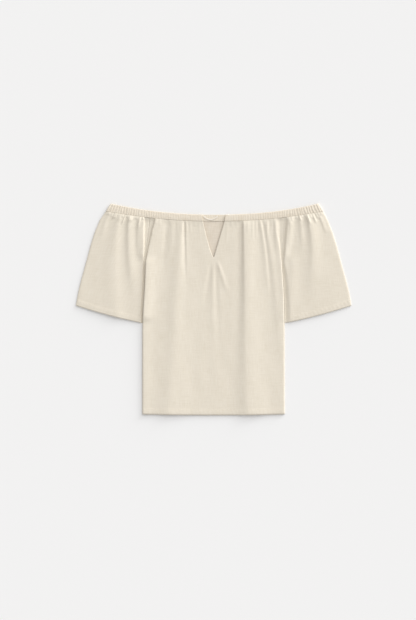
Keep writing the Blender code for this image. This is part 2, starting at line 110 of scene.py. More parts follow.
Fold = namedtuple("Fold", "x_top x_end bow start end left left_end right right_end rise rise_end")
FRONT_FOLDS = [
    Fold(-87, -122, -1, 0.00, 1.00, 14, 34, 12, 44, 2.0, 2.8),
    Fold(84, 97, -3, 0.00, 1.00, 4, 26, 32, 44, 3.5, 3.4),
    Fold(-80, -78, 0, 0.00, 0.34, 5, 9, 2.2, 4, -2.2, -0.4),
    Fold(76, 76, 0, 0.00, 0.60, 12, 16, 2.5, 10, -2.2, -0.4),
    Fold(-128, -142, 0, 0.00, 0.30, 5, 8, 6, 9, -1.5, -0.4),
    Fold(-112, -120, 0, 0.00, 0.22, 6, 9, 6, 9, 0.9, 0.3),
    Fold(129, 152, 4, 0.00, 0.46, 6, 12, 2.5, 5, 1.7, 0.5),
    Fold(141, 186, 9, 0.00, 0.85, 5, 16, 10, 14, 1.7, 0.6),
    Fold(168, 176, 0, 0.00, 0.20, 4, 7, 5, 8, 1.2, 0.4),
    Fold(-7, -30, 0, 0.21, 0.50, 4, 9, 4, 9, -1.4, -0.4),
    Fold(-1, -4, 0, 0.20, 0.60, 4, 8, 4, 8, 0.8, 0.3),
    Fold(5, 17, 0, 0.21, 0.80, 4, 12, 4, 10, -0.9, -0.3),
    Fold(9, 44, 0, 0.20, 0.40, 4, 8, 4, 8, 1.4, 0.4),
]
LEFT_SLEEVE_FOLDS = [
    Fold(0.45, 0.14, -0.02, 0.00, 0.86, 4, 16, 14, 22, 3.0, 1.2),
    Fold(0.65, 0.40, 0.00, 0.00, 1.00, 8, 45, 10, 24, 2.2, 1.6),
    Fold(0.89, 0.84, 0.00, 0.00, 0.32, 5, 8, 6, 8, 1.4, 0.4),
    Fold(0.24, 0.12, 0.00, 0.00, 0.42, 4, 6, 8, 10, 1.8, 0.5),
]
RIGHT_SLEEVE_FOLDS = [
    Fold(0.57, 0.36, 0.08, 0.00, 0.86, 4, 22, 16, 26, 3.0, 1.2),
    Fold(0.40, 0.37, 0.00, 0.00, 0.36, 6, 8, 6, 8, 2.0, 0.5),
    Fold(0.19, 0.12, 0.00, 0.00, 0.36, 5, 6, 6, 8, 1.3, 0.4),
    Fold(0.20, 0.12, 0.00, 0.34, 0.90, 10, 14, 14, 16, 1.4, 0.6),
    Fold(0.86, 0.88, 0.00, 0.00, 0.26, 3, 5, 6, 8, 1.4, 0.4),
]
EdgeRoll = namedtuple("EdgeRoll", "y body_left body_right sleeve_left sleeve_right")
EDGE_ROLLS = [
    EdgeRoll(0.2500, 0.0180, 0.0240, 0.0170, 0.0120),
    EdgeRoll(0.2131, 0.0120, 0.0190, 0.0140, 0.0110),
    EdgeRoll(0.1911, 0.0100, 0.0130, 0.0113, 0.0105),
    EdgeRoll(0.1636, 0.0065, 0.0085, 0.0080, 0.0095),
    EdgeRoll(0.1306, 0.0022, 0.0035, 0.0075, 0.0070),
    EdgeRoll(0.0949, 0.0015, 0.0025, 0.0080, 0.0120),
    EdgeRoll(-0.0014, 0.0015, 0.0025, 0.0075, 0.0165),
    EdgeRoll(-0.0375, 0.0020, 0.0030, 0.0060, 0.0165),
    EdgeRoll(-0.2900, 0.0035, 0.0035, 0.0060, 0.0165),
]
EdgeFlank = namedtuple("EdgeFlank", "y body_left body_right sleeve_left sleeve_right")
EDGE_FLANKS = [
    EdgeFlank(0.2500, 0.0035, 0.0140, 0.0035, 0.0080),
    EdgeFlank(0.2131, 0.0035, 0.0110, 0.0035, 0.0075),
    EdgeFlank(0.1911, 0.0030, 0.0040, 0.0035, 0.0070),
    EdgeFlank(0.1306, 0.0016, 0.0030, 0.0030, 0.0060),
    EdgeFlank(0.0949, 0.0012, 0.0020, 0.0025, 0.0110),
    EdgeFlank(-0.0375, 0.0015, 0.0020, 0.0025, 0.0155),
    EdgeFlank(-0.2900, 0.0030, 0.0030, 0.0025, 0.0155),
]
EDGE_NAMES = {
    ("body", -1): "body_left",
    ("body", 1): "body_right",
    ("sleeve", -1): "sleeve_left",
    ("sleeve", 1): "sleeve_right",
}
print("folds:", len(FRONT_FOLDS) + len(LEFT_SLEEVE_FOLDS) + len(RIGHT_SLEEVE_FOLDS))

# %% [markdown]
# The lines of the cut are small functions of these sizes. They work on whole rows of points at once,
# because NumPy is quick that way: the neck seam, the side lines and the hem each give one number for
# each point.

# %% Lines of the cut
def ease(t):
    t = np.clip(t, 0, 1)
    return t * t * (3 - 2 * t)


def lookup(table, y, column):
    """The named column of a table whose rows run down the garment, between its rows at height y."""
    rows = table[::-1]
    return np.interp(y, [row.y for row in rows], [getattr(row, column) for row in rows])


def side_x(y, side):
    return lookup(SIDE_LINES, y, "left" if side < 0 else "right")


def by_side(x, pair):
    return np.where(np.asarray(x) < 0, pair[-1], pair[1])


def hem_y(x):
    half = np.where(np.asarray(x) < 0, side_x(HEM_CORNER_Y, -1), side_x(HEM_CORNER_Y, 1))
    return HEM_CORNER_Y - HEM_SAG * (1 - (x / half) ** 2)


def neck_edge_y(share):
    return NECK_MIDDLE_Y + SHOULDER_RISE * np.abs(share) ** by_side(share, SHOULDER_CURVE)


def band_width(share):
    return BAND_WIDTH + BAND_WIDER_AT_SHOULDER * share * share


def band_lean(share):
    from_slit = (np.abs(share) * by_side(share, NECK_REACH) - SLIT_HALF) / SLIT_LEAN_LENGTH
    inward = SLIT_LEAN * np.exp(-from_slit * from_slit)
    return np.where(np.asarray(share) < 0, -1, 1) * (SHOULDER_FLARE * np.abs(share) ** 6 - inward)


def neck_seam_y(x):
    """The edge where the panels meet the casing."""
    reach = by_side(x, NECK_REACH)
    share = x / reach
    for _ in range(20):
        share = np.clip((x - band_lean(share)) / reach, -1, 1)
    return neck_edge_y(share) - band_width(share)


def seam_top(side, line):
    y = neck_seam_y(line(SIDE_LINES[0].y, side))
    for _ in range(20):
        y = neck_seam_y(line(y, side))
    return np.array([line(y, side), y])


print(f"neckline {2 * NECK_MIDDLE_Y:.3f} m, tops {seam_top(-1, side_x)}, {seam_top(1, side_x)}")

# %% [markdown]
# A laid-out garment is a relief a few millimetres high. Each fold in the tables is a ridge with one
# width to its left and another to its right, so that a tuck has a steep side and a soft one. Small
# creases that no table names come from a handful of seeded waves, longer down the cloth than across.

# %% Relief of the upper cloth
LAYER_LOW = 2.3 * MM
LEVEL = 1.3 * MM
SOFTNESS = 0.7 * MM
RELIEF = 1.22
FADE_IN = 0.2
FADE_OUT = 0.4
Waves = namedtuple("Waves", "count shortest longest lean height")
WORN_CLOTH = Waves(14, 35 * MM, 110 * MM, 0.3, 0.16 * MM)
RESTING_CLOTH = Waves(9, 30 * MM, 90 * MM, 0.4, 0.15 * MM)


def fold_rise(folds, across, down, to_metres):
    """The height that the folds add at each point."""
    total = np.zeros(np.broadcast(across, down).shape)
    for fold in folds:
        t = (down - fold.start) / (fold.end - fold.start)
        inside = (t >= 0) & (t <= 1)
        t = np.clip(t, 0, 1)
        crest = fold.x_top + (fold.x_end - fold.x_top) * t + fold.bow * 4 * t * (1 - t)
        offset = (across - crest) * to_metres
        left = fold.left + (fold.left_end - fold.left) * t
        right = fold.right + (fold.right_end - fold.right) * t
        width = np.where(offset < 0, left, right) * MM
        rise = (fold.rise + (fold.rise_end - fold.rise) * t) * MM
        fade_out = 1 if fold.end == 1 else ease((1 - t) / FADE_OUT)
        fade_in = 1 if fold.start == 0 else ease(t / FADE_IN)
        total += inside * rise * fade_in * fade_out * np.exp(-((offset / width) ** 2))
    return total


def soft_waves(x, y, seed, waves):
    """Seeded waves across the cloth. Their lean is how far the crests turn from straight down."""
    chance = np.random.default_rng(seed)
    total = np.zeros(np.broadcast(x, y).shape)
    for _ in range(waves.count):
        length = chance.uniform(waves.shortest, waves.longest)
        turn = chance.normal(0, waves.lean)
        phase = chance.uniform(0, 2 * math.pi)
        total += np.sin(2 * math.pi / length * (x * math.cos(turn) + y * math.sin(turn)) + phase)
    return total * waves.height / math.sqrt(waves.count)


def layer_height(rise):
    """Folds rise from a resting level. Between them the cloth never sinks to the lower layer."""
    return LAYER_LOW + SOFTNESS * np.logaddexp(0, (LEVEL + rise * RELIEF) / SOFTNESS)


print(f"resting height {layer_height(np.array(0.0)) / MM:.1f} mm")

# %% [markdown]
# A shell is a grid of points with a wall. The grid comes from NumPy arrays, one row of the cloth at
# a time. Its UV map holds metres of cloth, so that the weave keeps its real size and follows the
# cloth round folds. Solidify then gives the wall, with the grid as its outer side.

# %% Grid of points to cloth
WALL = 0.7 * MM


def cloth_mesh(name, grids, material, wall=WALL):
    """grids are arrays of rows x columns x 3. Their points weld where they meet."""
    mesh = bpy.data.meshes.new(name)
    bm = bmesh.new()
    layer = bm.loops.layers.uv.new("cloth")
    for grid in grids:
        rows, columns = grid.shape[:2]
        run_u = np.linalg.norm(np.diff(grid, axis=1), axis=2).cumsum(1)
        u = np.hstack([np.zeros((rows, 1)), run_u]) + grid[:, :1, 0]
        v = grid[..., 1]
        points = [[bm.verts.new(grid[j, i]) for i in range(columns)] for j in range(rows)]
        for j in range(rows - 1):
            for i in range(columns - 1):
                corners = ((j, i), (j + 1, i), (j + 1, i + 1), (j, i + 1))
                face = bm.faces.new([points[a][b] for a, b in corners])
                for loop, (a, b) in zip(face.loops, corners):
                    loop[layer].uv = (u[a, b], v[a, b])
    bmesh.ops.remove_doubles(bm, verts=bm.verts, dist=0.01 * MM)
    bm.to_mesh(mesh)
    bm.free()
    mesh.shade_smooth()
    piece = bpy.data.objects.new(name, mesh)
    bpy.context.scene.collection.objects.link(piece)
    solid = piece.modifiers.new("wall", "SOLIDIFY")
    solid.thickness = wall
    solid.offset = -1
    piece.data.materials.append(material)
    plain = plain_copy(piece)
    print(f"{name}: {len(plain.data.polygons)} faces")
    return plain


def plain_copy(piece):
    """The piece with its modifiers worked in, as a plain mesh under the same name."""
    bpy.context.view_layer.update()
    graph = bpy.context.evaluated_depsgraph_get()
    settled = piece.evaluated_get(graph)
    mesh = bpy.data.meshes.new_from_object(settled, preserve_all_data_layers=True, depsgraph=graph)
    piece.modifiers.clear()
    old = piece.data
    piece.data = mesh
    bpy.data.meshes.remove(old)
    mesh.name = piece.name
    return piece


# %% [markdown]
# Each material starts from the real one. The cloth is a plain weave of linen and cotton: matt, with
# a faint sheen from loose fibre ends, and with slubs, the thicker stretches of a hand-spun-looking
# yarn. Colours are hex values, as a colour picker shows them, turned to linear light by one function.

# %% Colours and nodes
def linear(hex_colour):
    channels = [int(hex_colour[k : k + 2], 16) / 255 for k in (1, 3, 5)]
    return [c / 12.92 if c <= 0.04045 else ((c + 0.055) / 1.055) ** 2.4 for c in channels] + [1]


def add(tree, kind, inputs=None, **settings):
    """Adds a node. An input that is a socket is linked, and any other value is set."""
    node = tree.nodes.new(kind)
    for name, value in settings.items():
        setattr(node, name, value)
    for key, value in (inputs or {}).items():
        if isinstance(value, bpy.types.NodeSocket):
            tree.links.new(value, node.inputs[key])
        else:
            node.inputs[key].default_value = value
    return node


# %% [markdown]
# Linen and cotton plain weave. The threads are 0.6 mm apart, too fine to show from above, so the
# slubs carry the look: streaks a thread or two wide and a few centimetres long, along both ways of
# the cloth. The weave itself is a low bump, drawn at 1.2 mm so that a near view still shows it, and
# broad clouds of a second tone keep the colour from looking printed. Fine crumples catch the light.

# %% Plain weave cloth
THREAD_DRAWN = 1.2 * MM
SLUB_WIDE = 2.2 * MM
SLUB_LONG = 30 * MM
CLOUD = 45 * MM
CRUMPLE = 9 * MM
CRUMPLE_LONG = 14.4 * MM
WEAVE_DEPTH = 0.10 * MM
SLUB_DEPTH = 0.08 * MM
CRUMPLE_DEPTH = 0.35 * MM
GATHERED_DEPTH = 0.15 * MM


def plain_weave(name, yarn, shade, slub, crumple_depth=CRUMPLE_DEPTH):
    material = bpy.data.materials.new(name)
    material.use_nodes = True
    tree = material.node_tree
    shader = tree.nodes["Principled BSDF"]
    shader.inputs["Roughness"].default_value = 0.9
    shader.inputs["Specular IOR Level"].default_value = 0.2
    shader.inputs["Sheen Weight"].default_value = 0.15
    shader.inputs["Sheen Roughness"].default_value = 0.6
    cloth = add(tree, "ShaderNodeUVMap", uv_map="cloth").outputs["UV"]

    def noise(wide, long, detail):
        scale = (1 / wide, 1 / long, 1)
        place = add(tree, "ShaderNodeMapping", {"Vector": cloth, "Scale": scale}).outputs[0]
        settings = {"Vector": place, "Scale": 1, "Detail": detail}
        return add(tree, "ShaderNodeTexNoise", settings).outputs["Fac"]

    def maths(operation, a, b):
        return add(tree, "ShaderNodeMath", {0: a, 1: b}, operation=operation).outputs[0]

    slubs = maths("ADD", noise(SLUB_WIDE, SLUB_LONG, 3), noise(SLUB_LONG, SLUB_WIDE, 3))
    flecks = add(tree, "ShaderNodeMapRange", {0: slubs, 1: 0.75, 2: 1.3, 3: 0.0, 4: 1.0}).outputs[0]
    clouds = add(tree, "ShaderNodeMapRange", {0: noise(CLOUD, CLOUD, 2), 1: 0.3, 2: 0.7}).outputs[0]
    blend = {"data_type": "RGBA"}
    two_tones = {0: clouds, 6: linear(shade), 7: linear(yarn)}
    ground = add(tree, "ShaderNodeMix", two_tones, **blend).outputs[2]
    colour = add(tree, "ShaderNodeMix", {0: flecks, 6: ground, 7: linear(slub)}, **blend).outputs[2]
    tree.links.new(colour, shader.inputs["Base Color"])

    across, down, _ = add(tree, "ShaderNodeSeparateXYZ", {0: cloth}).outputs
    turn = 2 * math.pi / THREAD_DRAWN / 2
    over = maths("SINE", maths("MULTIPLY", across, turn), 0)
    under = maths("SINE", maths("MULTIPLY", down, turn), 0)
    weave = maths("ABSOLUTE", maths("MULTIPLY", over, under), 0)
    creased = noise(CRUMPLE, CRUMPLE_LONG, 4)
    weave_bump = {"Height": weave, "Distance": WEAVE_DEPTH, "Strength": 0.6}
    bump = add(tree, "ShaderNodeBump", weave_bump).outputs[0]
    slub_bump = {"Height": slubs, "Distance": SLUB_DEPTH, "Strength": 0.7, "Normal": bump}
    bump = add(tree, "ShaderNodeBump", slub_bump).outputs[0]
    crumple_bump = {"Height": creased, "Distance": crumple_depth, "Strength": 0.6, "Normal": bump}
    bump = add(tree, "ShaderNodeBump", crumple_bump).outputs[0]
    tree.links.new(bump, shader.inputs["Normal"])
    return material


cloth = plain_weave("linen and cotton plain weave", "#E3DAC9", "#DFD6C4", "#E8E0D0")
# The back's inner side is the same plain weave, its colours painted a little darker for the shade it
# lies in under the slit's flaps.
inside = plain_weave("plain weave, inner side with painted shade", "#DFD3C1", "#DACEBB", "#E6DCCC")
casing_cloth = plain_weave("ruched plain weave", "#E4D9C6", "#DFD3BF", "#E9E0D0", GATHERED_DEPTH)
print("cloths:", cloth.name, "|", inside.name, "|", casing_cloth.name)

# %% [markdown]
# Spun polyester thread sews the hems, the casing and the slit. It is a shade darker than the cloth
# and a little glossier, so a row of stitches reads as a fine dotted line. The hanging loop is a
# cotton tape, woven tight and flat.

# %% Thread and tape
def plain_finish(name, colours, roughness, grain, depth):
    material = bpy.data.materials.new(name)
    material.use_nodes = True
    tree = material.node_tree
    shader = tree.nodes["Principled BSDF"]
    shader.inputs["Roughness"].default_value = roughness
    shader.inputs["Specular IOR Level"].default_value = 0.3
    place = add(tree, "ShaderNodeTexCoord").outputs["Object"]
    settings = {"Vector": place, "Scale": 1 / grain, "Detail": 2}
    grains = add(tree, "ShaderNodeTexNoise", settings).outputs["Fac"]
    two_tones = {0: grains, 6: linear(colours[0]), 7: linear(colours[1])}
    tone = add(tree, "ShaderNodeMix", two_tones, data_type="RGBA").outputs[2]
    tree.links.new(tone, shader.inputs["Base Color"])
    bump = add(tree, "ShaderNodeBump", {"Height": grains, "Distance": depth, "Strength": 0.5})
    tree.links.new(bump.outputs[0], shader.inputs["Normal"])
    return material


thread = plain_finish("spun polyester thread", ("#CFC2AC", "#DDD1BD"), 0.6, 0.4 * MM, 0.05 * MM)
tape = plain_finish("cotton tape", ("#EDE5D8", "#F4EEE3"), 0.85, 0.8 * MM, 0.1 * MM)
print("sewing:", thread.name, "|", tape.name)

# %% [markdown]
# The back lies flat on the surface, so only its inner side shows, through the slit, in the same cloth
# painted a little darker for the shade there. It is a grid between the two side lines, from the neck
# seam to the hem, lifted a fraction where the cloth doesn't quite press down.

# %% Back panel
BACK_COLUMNS = 130
BACK_ROWS = 180
BACK_SEED = 5
BACK_LIFT = 0.25 * MM
BACK_HIGHEST = 0.6 * MM
REST_GAP = 0.1 * MM

tops = {side: seam_top(side, side_x) for side in (-1, 1)}


def body_grid(columns, rows):
    """x and y of a whole body panel."""
    down = np.linspace(0, 1, rows + 1)[:, None]
    share = np.linspace(0, 1, columns + 1)[None, :]
    left_y = tops[-1][1] + (HEM_CORNER_Y - tops[-1][1]) * down
    right_y = tops[1][1] + (HEM_CORNER_Y - tops[1][1]) * down
    left_x, right_x = side_x(left_y, -1), side_x(right_y, 1)
    x = left_x + (right_x - left_x) * share
    start_y = neck_seam_y(tops[-1][0] + (tops[1][0] - tops[-1][0]) * share)
    y = start_y + (hem_y(x) - start_y) * down
    return x, y


x, y = body_grid(BACK_COLUMNS, BACK_ROWS)
lift = BACK_LIFT + soft_waves(x, y, BACK_SEED, RESTING_CLOTH)
back_grid = np.dstack([x, y, REST_GAP + np.clip(lift, 0, BACK_HIGHEST)])
back = cloth_mesh("back_cloth", [back_grid[:, ::-1]], inside)

# %% [markdown]
# Where two pieces meet, the cloth rolls down to the seam. Between the body and a sleeve that makes a
# valley: a low floor beside the seam, then a flank, then a crest that stands a little proud. Narrow
# flanks are round, and wide ones are soft slopes. The casing's elastic pulls small gathers into the
# cloth under it, and the hem and the cuffs are turned up, so they are one layer thicker.

# %% Edges, gathers and hems
EDGE_COLUMNS = 10
FLOOR_COLUMNS = 4
FLOOR_HEIGHT = 1.9 * MM
ROUND_FLANK = 3 * MM
SOFT_FLANK = 7 * MM
Crest = namedtuple("Crest", "above below width")
CRESTS = {
    "body_left": Crest(2.4 * MM, 4.2 * MM, 24 * MM),
    "body_right": Crest(1.2 * MM, 1.4 * MM, 12 * MM),
    "sleeve_left": Crest(2.2 * MM, -0.4 * MM, 12 * MM),
    "sleeve_right": Crest(2.4 * MM, 0.6 * MM, 12 * MM),
}
CREST_LEFT_BELOW_CUFF = 0.3
SEAM_DIP = 0.25 * MM
SEAM_DIP_REACH = 2 * MM
SEAM_HEIGHT = 5.1 * MM
SEAM_REACH = 9 * MM
SEAM_PULL = 0.7
SEAM_NEARER = 1.5
HEM_STEP = 0.45 * MM
STITCH_LINE = HEM_DEPTH - MM
STITCH_DENT = 0.3 * MM
ROPE_HEIGHT = 0.08 * MM
ROPE_LENGTH = 11 * MM
HEM_SETTLE = 0.9 * MM
HEM_SETTLE_REACH = 25 * MM


def quarter(width, foot, top, step):
    """A rolled edge: how far in a point lies, and its height."""
    angle = math.pi / 2 * np.clip(step, 0, 1)
    return width * (1 - np.cos(angle)), foot + (top - foot) * np.sin(angle)


def seam_edge(width, flank, foot, top, column):
    """From a seam over a low floor, then up a flank to the crest: how far across, and the height."""
    flank = np.minimum(width, flank)
    over_floor = np.clip(column / FLOOR_COLUMNS, 0, 1)
    up_flank = (column - FLOOR_COLUMNS) / (EDGE_COLUMNS - FLOOR_COLUMNS)
    in_flank, height = quarter(flank, foot, top, up_flank)
    slope = foot + (top - foot) * ease(in_flank / flank)
    softness = ease((flank - ROUND_FLANK) / (SOFT_FLANK - ROUND_FLANK))
    return (width - flank) * over_floor + in_flank, height + (slope - height) * softness


def crest_rise(from_crest, y, name):
    """The cloth stands up beside the valley, more or less so above and below the underarm."""
    crest = CRESTS[name]
    rise = crest.below + (crest.above - crest.below) * ease((y - UNDERARM_Y + 5 * MM) / (25 * MM))
    beside_sleeve = ease((y - CUFF_INNER_Y) / (20 * MM))
    rise = rise * (CREST_LEFT_BELOW_CUFF + (1 - CREST_LEFT_BELOW_CUFF) * beside_sleeve)
    return rise * np.exp(-((from_crest / crest.width) ** 2))


def gather_folds(seed, start, end, spacing, size, unit=1.0):
    """Seeded rows for the fold table, as the listed folds have them."""
    chance = np.random.default_rng(seed)
    folds = []
    place = start
    while place < end:
        width = chance.uniform(1.6, 3.2)
        drift = chance.normal(0, 1.5)
        length = 0.03 + 0.10 * chance.random() ** 2
        rise = size * chance.uniform(0.5, 1.2)
        x_top, x_end = place * unit, (place + drift) * unit
        wider = width * 1.6
        folds.append(Fold(x_top, x_end, 0, 0, length, width, wider, width, wider, rise, rise / 3))
        place += spacing * chance.uniform(0.6, 1.5)
    return folds


def near_seam(height, from_seam):
    """Below the casing the cloth comes up towards its height, with a dip at the seam itself."""
    pull = SEAM_PULL * np.exp(-((from_seam / SEAM_REACH) ** 2))
    dip = SEAM_DIP * np.exp(-((from_seam / SEAM_DIP_REACH) ** 2))
    return height + (SEAM_HEIGHT - height) * pull - dip


def hem_form(from_edge, run):
    """A second layer under the cloth, a pulled-in stitch line, and the slight rope it gives the hem."""
    turned = HEM_STEP * ease((HEM_DEPTH - from_edge) / MM + 0.5)
    stitch_line = -STITCH_DENT * np.exp(-(((from_edge - STITCH_LINE) / (0.9 * MM)) ** 2))
    rope = ROPE_HEIGHT * np.sin(2 * math.pi * (run + 0.6 * from_edge) / ROPE_LENGTH)
    settle = -HEM_SETTLE * np.exp(-from_edge / HEM_SETTLE_REACH)
    return turned + stitch_line + rope * (from_edge < HEM_DEPTH) + settle


FRONT_GATHERS = gather_folds(3, -165, -36, 13, 0.6) + gather_folds(4, 36, 180, 12, 0.8)
print("gathers under the casing on the front:", len(FRONT_GATHERS))

# %% [markdown]
# The front is two halves, apart along the slit and one sheet below it. Each half runs from its side
# edge, down in the valley, to the middle, with its columns closer together where a tuck is steep. The
# rows are close under the casing, where the gathers are, and wider apart towards the hem.

# %% Front panel
HALF_COLUMNS = 108
SLIT_ROWS = 62
SLIT_ROWS_CLOSER = 1.25
LOWER_ROWS = 104
TUCK_SHARE = 0.61
TUCK_SPREAD = 0.10
TUCK_CLOSER = 1.4
FRONT_SEED = 11


def spread_columns(count):
    """Shares from 0 to 1, closer together where the tuck is."""
    fine = np.linspace(0, 1, 2000)
    density = 1 + TUCK_CLOSER * np.exp(-(((fine - TUCK_SHARE) / TUCK_SPREAD) ** 2))
    run = np.r_[0, (density[1:] + density[:-1]).cumsum()]
    return np.interp(np.linspace(0, 1, count + 1), run / run[-1], fine)


def front_half(side):
    """x, y and z of one half, with columns from its side edge to the middle."""
    slit_top_x = side * (SLIT_HALF - SLIT_LEAN)
    middle_top = neck_seam_y(0)
    tip = (middle_top - SLIT_TIP_Y) / (middle_top - hem_y(0))
    upper = tip * np.linspace(0, 1, SLIT_ROWS + 1) ** SLIT_ROWS_CLOSER
    down = np.r_[upper, np.linspace(tip, 1, LOWER_ROWS + 1)[1:]][:, None]
    column = np.arange(HALF_COLUMNS + 1)[None, :]
    edge_y = tops[side][1] + (HEM_CORNER_Y - tops[side][1]) * down
    edge_x = side_x(edge_y, side)
    name = EDGE_NAMES["body", side]
    width, flank = lookup(EDGE_ROLLS, edge_y, name), lookup(EDGE_FLANKS, edge_y, name)
    above_tip = np.clip(1 - down / tip, 0, 1)
    slit_x = slit_top_x * above_tip ** SLIT_CURVE[side]
    span = np.abs(slit_x - edge_x)
    steps = spread_columns(HALF_COLUMNS - EDGE_COLUMNS)
    inner = width + (span - width) * np.r_[np.zeros(EDGE_COLUMNS), steps][None, :]
    rolling = column < EDGE_COLUMNS
    across = np.where(rolling, seam_edge(width, flank, 0, 1, column)[0], inner)
    share = across / span
    x = edge_x - side * across
    top_x = tops[side][0] + (slit_top_x * above_tip - tops[side][0]) * share
    start_y = neck_seam_y(top_x)
    y = start_y + (hem_y(x) - start_y) * down
    rise = fold_rise(FRONT_FOLDS + FRONT_GATHERS, x / MM, down, MM)
    rise += crest_rise(across - width, edge_y, name)
    height = layer_height(rise) + hem_form(y - hem_y(x), x)
    height += soft_waves(x, y, FRONT_SEED, WORN_CLOTH)
    height = near_seam(height, start_y - y)
    foot = near_seam(FLOOR_HEIGHT, (start_y - y) * SEAM_NEARER)
    z = np.where(rolling, seam_edge(width, flank, foot, height, column)[1], height)
    return np.dstack([x, y, z])


front_halves = {side: front_half(side) for side in (-1, 1)}
front = cloth_mesh("front_cloth", [front_halves[-1], front_halves[1][:, ::-1]], cloth)

# %% [markdown]
# A sleeve lies folded flat: a tube from cuff to underarm, open above it along the armhole seam. Each
# row of points goes from the seam over the top, round the outer fold and back underneath, and rows
# below the underarm close up. There the edge lies low beside the body, which shades it. The under
# side is flat, because it rests on the surface.

# %% Sleeves
SLEEVE_UPPER_ROWS = 56
SLEEVE_ROWS_CLOSER = 1.2
SLEEVE_LOWER_ROWS = 54
TOP_COLUMNS = 90
UNDER_COLUMNS = 24
ROLL_COLUMNS = 8
OUTER_ROLL = 6 * MM
UNDER_ROLL = 2.5 * MM
LIP_HEIGHT = 0.5 * MM
LIP_FADE = 25 * MM
SLEEVE_CROWN = 2.6 * MM
CROWN_FALL = 0.6
CROWN_PEAK = 0.5
SEAM_GAP = 0.3 * MM
SEWN_GAP = 0.02 * MM
GATHER_WIDTH = 160


def sleeve_grid(side, folds, seed):
    """x, y and z of a sleeve, row by row from the neck seam to the cuff."""
    top = tops[side]
    outer_top_x = side * (NECK_REACH[side] + SHOULDER_FLARE + BAND_TOP / 2)
    outer_top = np.array([outer_top_x, neck_seam_y(outer_top_x)])
    outer_folds = [SleeveFold(outer_top[1], abs(outer_top_x))] + SLEEVE_FOLDS
    length = top[1] - CUFF_INNER_Y
    closing = (top[1] - UNDERARM_Y) / length
    upper = closing * np.linspace(0, 1, SLEEVE_UPPER_ROWS + 1) ** SLEEVE_ROWS_CLOSER
    down = np.r_[upper, np.linspace(closing, 1, SLEEVE_LOWER_ROWS + 1)[1:]][:, None]
    inner_y = top[1] - length * down
    inner = np.dstack([side_x(inner_y, side), inner_y])
    outer_y = outer_top[1] + (CUFF_OUTER_Y - outer_top[1]) * down
    outer = np.dstack([side * lookup(outer_folds, outer_y, "x"), outer_y])
    span = np.linalg.norm(outer - inner, axis=2)
    closed = inner_y <= UNDERARM_Y + 0.001 * MM
    name = EDGE_NAMES["sleeve", side]
    width, flank = lookup(EDGE_ROLLS, inner_y, name), lookup(EDGE_FLANKS, inner_y, name)
    gathers = gather_folds(seed, 12, 150, 9, 2.8, 1 / GATHER_WIDTH)

    def height_at(across):
        share = across / span
        rise = fold_rise(folds + gathers, share, down, side * span)
        rise = rise + crest_rise(across - width, inner_y, name)
        past_peak = np.clip((share - CROWN_PEAK) / (1 - CROWN_PEAK), 0, None)
        crown = (1 - CROWN_FALL) * share - CROWN_FALL * past_peak**2
        height = layer_height(rise) + SLEEVE_CROWN * crown
        height += soft_waves(across, inner_y, seed, WORN_CLOTH)
        height += hem_form(length * (1 - down) * (1 - 0.2 * share), across)
        return near_seam(height, length * down)

    turn = np.arange(ROLL_COLUMNS)[None, :] / ROLL_COLUMNS
    fold_z = height_at(span) / 2
    column = np.arange(EDGE_COLUMNS)[None, :]
    seam_across = seam_edge(width, flank, 0, 1, column)[0]
    near_underarm = 1 - ease((UNDERARM_Y - inner_y) / LIP_FADE)
    lip = LIP_HEIGHT + (FLOOR_HEIGHT - LIP_HEIGHT) * near_underarm
    foot = np.where(closed, lip, near_seam(FLOOR_HEIGHT, length * down * SEAM_NEARER))
    top_across = width + (span - OUTER_ROLL - width) * np.linspace(0, 1, TOP_COLUMNS + 1)[None, :]
    outer_across = span - quarter(OUTER_ROLL, 0, 1, turn)[0]
    under_outer = span - quarter(UNDER_ROLL, 0, 1, turn)[0]
    back_across = np.linspace(0, 1, UNDER_COLUMNS + 1)[None, :]
    under = span - UNDER_ROLL - (span - 2 * UNDER_ROLL) * back_across
    under_inner = quarter(UNDER_ROLL, 0, 1, turn)[0] + 0 * span
    lip_edge = quarter(UNDER_ROLL, foot, REST_GAP, turn)[1]
    across = [
        seam_across + 0 * span,
        top_across,
        outer_across[:, ::-1],
        under_outer[:, 1:],
        under,
        under_inner[:, ::-1],
    ]
    height = [
        seam_edge(width, flank, foot, height_at(seam_across), column)[1],
        height_at(top_across),
        quarter(OUTER_ROLL, fold_z, height_at(outer_across), turn)[1][:, ::-1],
        quarter(UNDER_ROLL, fold_z, REST_GAP, turn)[1][:, 1:],
        REST_GAP + 0 * under,
        np.where(closed, lip_edge, REST_GAP)[:, ::-1],
    ]
    across, height = np.hstack(across), np.hstack(height)
    share = (across / span)[..., None]
    place = inner + (outer - inner) * share
    straight = top + (outer_top - top) * share
    drop = (neck_seam_y(straight[..., 0]) - straight[..., 1]) * (1 - down) ** 2
    bulge = CUFF_BULGE * 4 * share[..., 0] * (1 - share[..., 0]) * down**4
    x = place[..., 0] + side * np.where(closed, SEAM_GAP, SEWN_GAP) * (1 - share[..., 0])
    grid = np.dstack([x, place[..., 1] + drop - bulge, height])
    return grid if side > 0 else grid[:, ::-1]


sleeve_grids = {
    -1: sleeve_grid(-1, LEFT_SLEEVE_FOLDS, 21),
    1: sleeve_grid(1, RIGHT_SLEEVE_FOLDS, 22),
}
sleeve_left = cloth_mesh("sleeve_left_cloth", [sleeve_grids[-1]], cloth)
sleeve_right = cloth_mesh("sleeve_right_cloth", [sleeve_grids[1]], cloth)

# %% [markdown]
# The casing is one strip that runs from one side of the slit, over a shoulder, along the back, over
# the other shoulder and to the slit's other side. Flat elastic inside pulls it short, and the cloth
# stands up in ruches, most at the shoulders. The strip is made smooth first, with three numbers
# stored at each point: how far along it lies, how far across, and how full its ruches are, which is
# nothing where it doesn't show. Geometry Nodes then raise the ruches.

# %% Smooth strip of the casing
BAND_STEP = 1.0 * MM
SHOULDER_STEPS = 14
BAND_PROFILE = 14
EDGE_ROUND = 0.8 * MM
BAND_CROWN = 0.35 * MM
LEAST_FULL = 0.22


